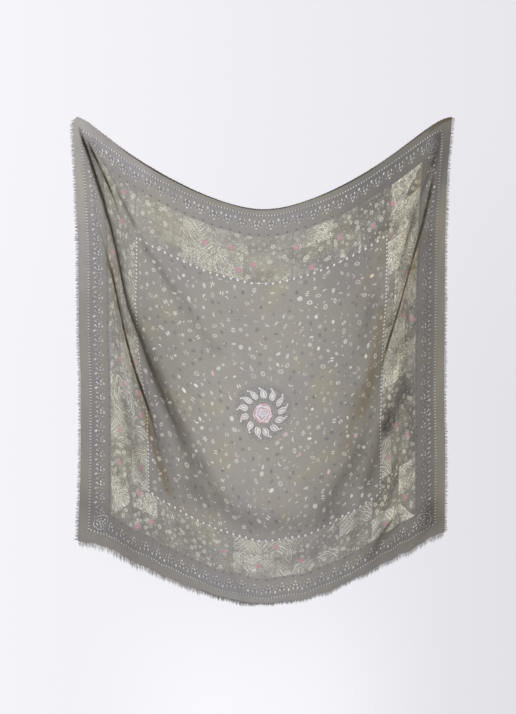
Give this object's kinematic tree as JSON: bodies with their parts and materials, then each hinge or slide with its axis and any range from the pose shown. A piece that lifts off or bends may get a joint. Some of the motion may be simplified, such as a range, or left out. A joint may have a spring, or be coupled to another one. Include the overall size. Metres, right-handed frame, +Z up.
{
  "type": "square scarf",
  "caption": "Large square scarf of thin printed cloth with a short frayed fringe, hanging in a shallow swag from its two top corners.",
  "frame": {"origin": "the left top corner of the cloth, where it is held", "axes": "+X from the left held corner to the right one, -Y the way the printed face looks, +Z up"},
  "size_m": [1.2599, 0.1991, 1.6145],
  "materials": {
    "printed_cloth": "thin matt plain weave, warm grey with a faded print in cream, pink and grey",
    "frayed_thread": "loose matt threads, warm grey"
  },
  "bodies": {
    "root": {"scarf_cloth": "printed_cloth", "fringe_left": "frayed_thread", "fringe_right": "frayed_thread", "fringe_bottom": "frayed_thread", "fringe_top": "frayed_thread"}
  },
  "joints": []
}
